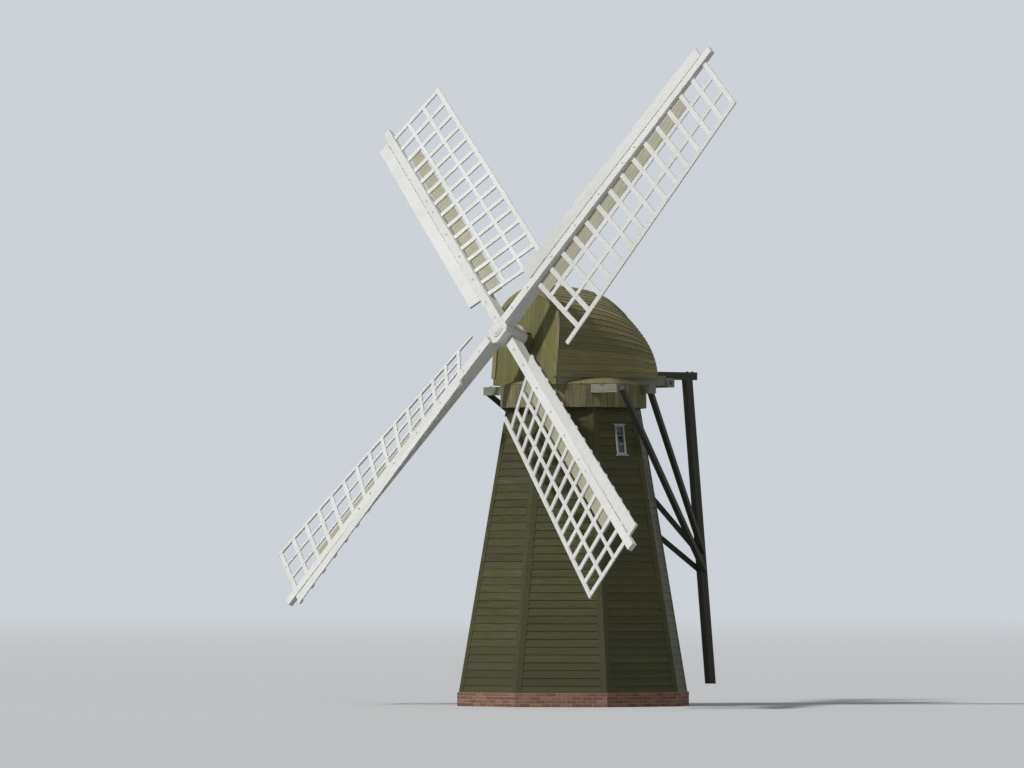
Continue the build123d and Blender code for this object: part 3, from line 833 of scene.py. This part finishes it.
addPiece(doorBoards(), "tower", "door_boards", doorPlanks, "door")
addPiece(doorIronwork(), "tower", "cast_iron", ironFace)
print("door hung")


# Windows: glazing bars, a sloping sill and a drip board on each

window = dict(
    frame=0.036, bar=0.018, barDepth=0.018, barEdge=0.004, paneFront=0.024, rows=3,
    reach={-1: 0.045, 1: 0.0315}, inside=0.02, sillHeight=0.036, sillSpare=0.03, slope=0.012,
    sillEdge=0.003)


def glaze(facing, name):
    base = windowMatrix(facing)
    lightWidth = windowHole["width"] - 2 * window["frame"]
    lightHeight = windowHole["height"] - 2 * window["frame"]
    depth = window["paneFront"] - window["barDepth"] / 2
    parts = []
    crossBar = startBlock("crossBar", (lightWidth, window["barDepth"], window["bar"]))
    softenEdges(crossBar, window["barEdge"])
    markGrain(crossBar)
    for k in range(1, window["rows"]):
        z = lightHeight * (k / window["rows"] - 0.5)
        parts.append(copyPiece(crossBar, base @ moved(0, depth, z)))
    for sign, reach in window["reach"].items():
        ledge = startBlock("ledge", (windowHole["width"] + 2 * window["sillSpare"],
                                     reach + window["inside"], window["sillHeight"]))
        slideTopFront(ledge, (0, 0, -window["slope"]))          # sheds the rain
        softenEdges(ledge, window["sillEdge"])
        markGrain(ledge)
        z = sign * (windowHole["height"] + window["sillHeight"]) / 2
        parts.append(copyPiece(ledge, base @ moved(0, (window["inside"] - reach) / 2, z)))
        drop(ledge)
    drop(crossBar)
    addPiece(joinPieces(parts, name), "tower", "grey_paint", greyPaint)


glaze(90, "window_bars_right")
glaze(270, "window_bars_left")
print("windows glazed")


# Cap cover: strakes like those of an upturned boat, lapped from the ridge to the foot

cover = dict(
    front=-1.36, back=1.45, halfWidth=1.14, foot=7.12, ridge=9.1297, lean=0.0958,
    falls=(0.0, 0.01, 0.055, 0.19, 0.6), fullness=(7.0, 5.2, 3.9, 2.8, 2.0), steps=80, heart=7.3,
    seam=0.0005)
# a strake's overlap is a share of its width
strakes = dict(count=17, cells=20, thick=0.026, lap=0.014, overlap=0.096, across=2, edge=0.0025)
ridge = dict(
    profile=((-0.115, -0.026), (-0.06, 0.004), (0.0, 0.016), (0.06, 0.004), (0.115, -0.026)),
    droop=0.09, lift=0.012, thick=0.02, edge=0.003)
barge = dict(width=0.135, thick=0.028, cells=26, heart=8.0, proud=0.001, edge=0.004)


def smoothAt(values, u):
    # a curve through the stations' values that never swings past them
    k = min(int(u), len(values) - 2)
    steps = [b - a for a, b in zip(values, values[1:])]

    def slope(i):
        if i == 0:
            return (3 * steps[0] - steps[1]) / 2
        if i == len(values) - 1:
            return (3 * steps[-1] - steps[-2]) / 2
        before, after = steps[i - 1], steps[i]
        return 2 * before * after / (before + after) if before * after > 0 else 0.0

    t = u - k
    a, b, c, d = values[k], slope(k), values[k + 1], slope(k + 1)
    return ((2 * t ** 3 - 3 * t ** 2 + 1) * a + (t ** 3 - 2 * t ** 2 + t) * b
            + (3 * t ** 2 - 2 * t ** 3) * c + (t ** 3 - t ** 2) * d)


def coverSection(u):
    # the right-hand half from foot to ridge, with u from 0 at the front to 4 at the tail
    rise = cover["ridge"] - smoothAt(cover["falls"], u) - cover["foot"]
    fullness = smoothAt(cover["fullness"], u)
    y0 = cover["front"] + (cover["back"] - cover["front"]) * u / 4
    points = []
    for i in range(cover["steps"] + 1):
        share = math.sin(math.pi / 2 * i / cover["steps"])
        z = cover["foot"] + rise * share
        y = y0 + max(0.0, 1 - u) * cover["lean"] * (z - cover["foot"])
        points.append(Vector((cover["halfWidth"] * (1 - share ** fullness), y, z)))
    return points


def pointsAlong(points, shares):
    # points at given shares of a line's length
    lengths = np.cumsum([0.0] + [(b - a).length for a, b in zip(points, points[1:])])
    wanted = np.array(shares) * lengths[-1]
    return [Vector(found) for found in zip(*(np.interp(wanted, lengths, way)
                                             for way in zip(*points)))]


def startSheet(name, lengthCells, acrossCells, place):
    # a grid whose points are moved to their places on a curved surface
    sheet = start(name, bpy.ops.mesh.primitive_grid_add, x_subdivisions=lengthCells,
                  y_subdivisions=acrossCells, size=1)
    for point in sheet.data.vertices:
        i = round((point.co.x + 0.5) * lengthCells)
        j = round((point.co.y + 0.5) * acrossCells)
        point.co = place(i, j)
    return sheet


def turnOutwards(piece):
    openAll(piece)
    bpy.ops.mesh.normals_make_consistent(inside=False)
    close()


def thicken(sheet, thick, inward):
    # a wall of that thickness on the inner side of the sheet
    turnOutwards(sheet)
    face = max(sheet.data.polygons, key=lambda f: f.area)
    offset = -1 if face.normal.dot(inward) < 0 else 1
    applyModifier(sheet, "SOLIDIFY", thickness=thick, offset=offset)
    turnOutwards(sheet)


def boardCover(side, name, nodeName):
    cells, rows = strakes["cells"], strakes["across"]
    sections = [coverSection(4 * i / cells) for i in range(cells + 1)]
    parts = []
    for k in range(strakes["count"]):
        low = max(0.0, (k - strakes["overlap"]) / strakes["count"])
        high = (k + 1) / strakes["count"]
        shares = [low + (high - low) * j / rows for j in range(rows + 1)]
        lines = [pointsAlong(section, shares) for section in sections]

        def place(i, j):
            point = lines[i][j]
            inward = Vector((-point.x, 0, cover["heart"] - point.z)).normalized()
            point = point + inward * strakes["lap"] * j / rows
            return Vector((point.x * side, point.y, point.z))

        strake = startSheet("strake", cells, rows, place)
        middle = place(cells // 2, 1)
        thicken(strake, strakes["thick"], Vector((-middle.x, 0, cover["heart"] - middle.z)))
        markBoard(strake, "YZX")
        parts.append(strake)
    whole = joinPieces(parts, name)
    cutAway(whole, (cover["seam"] * side, 0, 0), (-side, 0, 0))
    softenEdges(whole, strakes["edge"])
    addPiece(whole, "cap", "cap_boards", capBoards, nodeName)


def ridgeBoard():
    def place(i, j):
        section = coverSection(4 * i / strakes["cells"])
        x, rise = ridge["profile"][j]
        # follows the cover's own slope beside the ridge
        beside = min(section, key=lambda point: abs(point.x - abs(x)))
        top = max(beside.z, section[-1].z - ridge["droop"])
        return Vector((x, section[-1].y, top + rise + ridge["lift"]))

    board = startSheet("ridge_board", strakes["cells"], len(ridge["profile"]) - 1, place)
    thicken(board, ridge["thick"], Vector((0, 0, -1)))
    softenEdges(board, ridge["edge"])
    markBoard(board, "YXZ")
    return board


boardCover(1, "cap_strakes_right", "cap_side_right")
boardCover(-1, "cap_strakes_left", "cap_side_left")
addPiece(ridgeBoard(), "cap", "cap_boards", capBoards)


# Gables of upright boards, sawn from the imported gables, with barge boards in front

gable = dict(half=1.1, board=0.148, gap=0.004, edge=0.0025)


def uprightCuts():
    count = math.ceil(2 * gable["half"] / gable["board"])
    pitch = 2 * gable["half"] / count
    for k in range(count):
        left = -gable["half"] + k * pitch + gable["gap"] / 2
        right = -gable["half"] + (k + 1) * pitch - gable["gap"] / 2
        yield [((left, 0, 0), (-1, 0, 0)), ((right, 0, 0), (1, 0, 0))], Matrix()


for nodeName, slot, finish in (("front_gable", "gable_boards", gableBoards),
                               ("rear_gable", "cap_boards", capBoards)):
    sawn = sawBoards(nodeName, nodeName + "_boards", uprightCuts(), "ZXY", gable["edge"])
    addPiece(sawn, "cap", slot, finish, nodeName)


def bargeBoards():
    cells = barge["cells"]
    outer = pointsAlong(coverSection(0), [i / cells for i in range(cells + 1)])
    parts = []
    for side in (1, -1):
        def place(i, j):
            point = outer[i]
            ahead = outer[min(i + 1, cells)] - outer[max(i - 1, 0)]
            inward = Vector((-ahead.z, 0, ahead.x)).normalized()
            if inward.dot(Vector((-point.x, 0, barge["heart"] - point.z))) < 0:
                inward = -inward
            point = point + inward * barge["width"] * j
            y = cover["front"] + cover["lean"] * (point.z - cover["foot"]) - barge["proud"]
            return Vector((max(point.x, cover["seam"]) * side, y, point.z))

        board = startSheet("barge", cells, 1, place)
        thicken(board, barge["thick"], Vector((0, -1, 0)))
        markBoard(board, "ZXY")
        parts.append(board)
    whole = joinPieces(parts, "barge_boards")
    softenEdges(whole, barge["edge"])
    return whole


addPiece(bargeBoards(), "cap", "cap_boards", capBoards)
print("cap boarded")


# Petticoat of upright boards, and the sloping apron above it

petticoat = dict(
    radius=1.59, inner=1.56, bottom=6.47, top=6.96, boards=64, gap=0.004, edge=0.004,
    unevenness=0.002)
beamHoles = dict(places=(-0.57, 0.9), width=0.204, low=6.778, height=1.0, length=6)
hoops = dict(heights=(6.56, 6.72), width=0.06, thick=0.018, sides=96, spare=0.0005)
apron = dict(boards=56, gap=0.004, edge=0.002)


def boardPetticoat():
    turn = 2 * math.pi / petticoat["boards"]
    width = 2 * petticoat["inner"] * math.tan(turn / 2) - petticoat["gap"]
    thick = petticoat["radius"] * math.cos(turn / 2) - petticoat["inner"]
    board = startBlock("board", (width, thick, petticoat["top"] - petticoat["bottom"]))
    choose(board, "EDGE", lambda middle, way: middle.y < 0)
    bevelChosen(petticoat["edge"])
    markGrain(board, "ZXY")
    size = (beamHoles["length"], beamHoles["width"], beamHoles["height"])
    holes = [startBlock("hole", size, (0, y, beamHoles["low"] + beamHoles["height"] / 2))
             for y in beamHoles["places"]]
    parts = []
    for k in range(petticoat["boards"]):
        radius = petticoat["inner"] + thick / 2 - chance.uniform(0, petticoat["unevenness"])
        place = (moved(0, 0, (petticoat["top"] + petticoat["bottom"]) / 2)
                 @ uprightMatrix((k + 0.5) * turn, radius))
        plank = copyPiece(board, place)
        for hole in holes:
            if meets(plank, hole):
                cutHole(plank, hole)
                markBoard(plank, "ZXY", place)
        parts.append(plank)
    drop(board, *holes)
    return joinPieces(parts, "petticoat_boards")


def petticoatHoops():
    # two bands inside hold the boards together
    parts = []
    for z in hoops["heights"]:
        hoop = startRod("hoop", petticoat["inner"] + hoops["spare"], hoops["width"],
                        hoops["sides"], (0, 0, z))
        openEnds(hoop)
        applyModifier(hoop, "SOLIDIFY", thickness=hoops["thick"], offset=-1)
        markBoard(hoop)
        parts.append(hoop)
    return joinPieces(parts, "petticoat_hoops")


def fanCuts(count, gap):
    # boards that fan out from the middle
    turn = 2 * math.pi / count
    for k in range(count):
        middle = (k + 0.5) * turn
        planes = []
        for sign in (-1, 1):
            way = along(middle + sign * turn / 2) * sign
            planes.append((-way * gap / 2, way))
        planes.append(((0, 0, 0), -across(middle)))
        yield planes, Matrix.Rotation(middle, 4, "Z")


addPiece(boardPetticoat(), "cap", "cap_boards", petticoatBoards, "petticoat")
addPiece(petticoatHoops(), "cap", "frame_timber", weatheredPaintedLightBoards)
fanned = sawBoards("apron", "apron_boards", fanCuts(apron["boards"], apron["gap"]), "YXZ",
                   apron["edge"])
addPiece(fanned, "cap", "cap_boards", capBoards, "apron")
print("petticoat and apron boarded")


# Ironwork: bolts through the sails' timbers, bands on the poll, bolts on the cap and tail

bolt = dict(head=0.02, headHeight=0.015, plate=0.07, plateThick=0.007, edge=0.0015)
sailBolt = dict(
    radii=(0.62, 1.2, 2.09, 2.97, 3.85, 4.73, 5.17), whipFront=0.056, whipBack=-0.256,
    stockTaper=0.11, taperFrom=0.45, taperLength=4.95)
poll = dict(
    width=0.48, chamfer=0.07, bandThick=0.008, edge=0.002, face=0.13,
    bands=((0.078, 0.124), (-0.182, -0.13), (-0.48, -0.395)), boltRing=0.185, boltScale=0.6)
nosePlate = dict(radius=0.15, thick=0.024, sides=40, rim=0.05, boss=0.018, edge=0.004)
capBolt = dict(
    upward=((1.0, 1.8, 7.18), (1.0, 1.6, 7.18), (2.187, -0.57, 6.96), (1.481, 0.9, 6.96)),
    outward=(1.15, 1.8, 7.03), middle=((0, 1.8, 7.3), (0, 3.2, 7.3), (0, 3.34, 7.3)))
backwards = Matrix.Rotation(math.pi, 4, "X")


def boltPattern():
    # a square plate with a six-sided head, on the xy plane and facing +z
    plateThick, headHeight = bolt["plateThick"], bolt["headHeight"]
    plate = startBlock("plate", (bolt["plate"], bolt["plate"], plateThick), (0, 0, plateThick / 2))
    head = startRod("head", bolt["head"], headHeight, 6, (0, 0, plateThick + headHeight / 2))
    for piece in (plate, head):
        bevelAll(piece, bolt["edge"])
    return joinPieces([plate, head], "bolt")


def sailBolts():
    parts = []
    for number in range(4):
        base = sailMatrix(number, rotor["pairOffset"] * (1 if number % 2 == 0 else -1))
        for radius in sailBolt["radii"]:
            share = max(0.0, (radius - sailBolt["taperFrom"]) / sailBolt["taperLength"])
            back = sailBolt["whipBack"] + sailBolt["stockTaper"] * share
            parts.append(copyPiece(boltHead, base @ moved(0, radius, sailBolt["whipFront"])))
            parts.append(copyPiece(boltHead, base @ moved(0, radius, back) @ backwards))
    return joinPieces(parts, "sail_bolts")


def pollBand(low, high):
    size = (poll["width"], poll["width"], high - low)
    band = startBlock("band", size, (0, 0, (high + low) / 2))
    choose(band, "EDGE", lambda middle, way: abs(way.z) > almost)
    bevelChosen(poll["chamfer"])
    openEnds(band)
    applyModifier(band, "SOLIDIFY", thickness=poll["bandThick"], offset=1)
    softenEdges(band, poll["edge"])
    return band


def noseOnPoll():
    nose = startRod("nose", nosePlate["radius"], nosePlate["thick"], nosePlate["sides"],
                    (0, 0, poll["face"] + nosePlate["thick"] / 2))
    choose(nose, "FACE", lambda middle, normal: normal.z > almost)
    bpy.ops.mesh.inset(thickness=nosePlate["rim"])
    bpy.ops.mesh.extrude_region_move(TRANSFORM_OT_translate={"value": (0, 0, nosePlate["boss"])})
    close()
    softenEdges(nose, nosePlate["edge"])
    return nose


def pollIronwork():
    base = sailMatrix(0)
    parts = [pollBand(low, high) for low, high in poll["bands"]] + [noseOnPoll()]
    for part in parts:
        part.data.transform(base)
    smaller = Matrix.Scale(poll["boltScale"], 4)
    for k in range(4):
        turn = Matrix.Rotation(math.radians(45 + 90 * k), 4, "Z")
        place = base @ turn @ moved(0, poll["boltRing"], poll["face"]) @ smaller
        parts.append(copyPiece(boltHead, place))
    return joinPieces(parts, "poll_ironwork")


def boltAt(place, way=(0, 0, 1)):
    turn = Vector((0, 0, 1)).rotation_difference(Vector(way)).to_matrix().to_4x4()
    return copyPiece(boltHead, moved(*place) @ turn)


def capBolts():
    parts = []
    for side in (-1, 1):
        for x, y, z in capBolt["upward"]:
            parts.append(boltAt((side * x, y, z)))
        x, y, z = capBolt["outward"]
        parts.append(boltAt((side * x, y, z), (side, 0, 0)))
    return joinPieces(parts + [boltAt(place) for place in capBolt["middle"]], "cap_bolts")


boltHead = boltPattern()
addPiece(sailBolts(), "sails", "painted_iron", paintedIron)
addPiece(pollIronwork(), "sails", "painted_iron", paintedIron)
addPiece(capBolts(), "cap", "cast_iron", ironFace)
drop(boltHead)
print("ironwork fitted")


# Camera, light and floor

cameraSet = dict(place=(152.0, -121.3, 2.75), aim=(-0.83, -1.05, 7.0), lens=314.0, clipEnd=2000)
lights = dict(
    key=dict(strength=2.5, source=(-0.1, -1.0, 1.0), spread=5.0),
    fill=dict(strength=0.14, source=(1.0, -0.2, 0.6), spread=60.0))
# the camera, glass and gloss see a plain pale backdrop, into which the floor runs far behind
backdrop = dict(
    colour=(0.6, 0.64, 0.68), ambient=(0.93, 0.96, 1.0), strength=0.2, fade=(70.0, 420.0))
paleFloor = dict(
    size=(1600, 1600, 0.2), middle=(0, 0, -0.101), edge=0.05, rough=0.9, noise=0.8, bounce=0.5,
    colours=[(0.3, (0.625, 0.63, 0.63)), (0.7, (0.635, 0.64, 0.64))])


def lookAlong(way):
    return way.to_track_quat("-Z", "Y").to_euler()


def seenDirectly(tree):
    path = addNode(tree, "LightPath")
    seen = path.outputs["Is Camera Ray"]
    for ray in ("Is Glossy Ray", "Is Transmission Ray"):
        seen = addMath(tree, "MAXIMUM", seen, path.outputs[ray])
    return seen


def shownOver(tree, share, under, over, output):
    blend = addNode(tree, "MixShader", {0: share, 1: under.outputs[0], 2: over.outputs[0]})
    tree.links.new(blend.outputs[0], tree.nodes[output].inputs["Surface"])


def finishFloor():
    finish, tree, shader = newFinish("paleFloor")
    where = objectPlace(tree)
    colour = addRamp(tree, addNoise(tree, "smooth", where, paleFloor["noise"]),
                     paleFloor["colours"])
    # less light is thrown back up than the floor shows
    thrown = mapTo(tree, seenDirectly(tree), spans["whole"], paleFloor["bounce"], 1)
    colour = addNode(tree, "VectorMath", {0: colour, "Scale": thrown}, operation="SCALE")
    tree.links.new(colour.outputs[0], shader.inputs["Base Color"])
    shader.inputs["Roughness"].default_value = paleFloor["rough"]
    distance = addNode(tree, "VectorMath", {0: where}, operation="LENGTH").outputs["Value"]
    faded = mapTo(tree, distance, backdrop["fade"], 0, 1)
    faded = addMath(tree, "MULTIPLY", faded, seenDirectly(tree))
    farOff = addNode(tree, "Emission", {"Color": (*backdrop["colour"], 1), "Strength": 1.0})
    shownOver(tree, faded, shader, farOff, "Material Output")
    return finish


cameraData = bpy.data.cameras.new("camera")
cameraData.lens = cameraSet["lens"]
cameraData.clip_end = cameraSet["clipEnd"]
camera = bpy.data.objects.new("camera", cameraData)
camera.location = cameraSet["place"]
camera.rotation_euler = lookAlong(Vector(cameraSet["aim"]) - Vector(cameraSet["place"]))
putIn(camera)
bpy.context.scene.camera = camera

for name, light in lights.items():
    lamp = bpy.data.objects.new(name, bpy.data.lights.new(name, "SUN"))
    lamp.data.energy = light["strength"]
    lamp.data.angle = math.radians(light["spread"])
    lamp.rotation_euler = lookAlong(-Vector(light["source"]))
    putIn(lamp)

world = bpy.data.worlds.new("studio")
world.use_nodes = True
bpy.context.scene.world = world
ambient = world.node_tree.nodes["Background"]
ambient.inputs["Color"].default_value = (*backdrop["ambient"], 1)
ambient.inputs["Strength"].default_value = backdrop["strength"]
pale = addNode(world.node_tree, "Background", {"Color": (*backdrop["colour"], 1), "Strength": 1.0})
shownOver(world.node_tree, seenDirectly(world.node_tree), ambient, pale, "World Output")

floor = startBlock("floor", paleFloor["size"], paleFloor["middle"])
bevelAll(floor, paleFloor["edge"])
floor.data.materials.append(finishFloor())
bpy.context.scene.view_settings.view_transform = "Standard"
print("studio set")
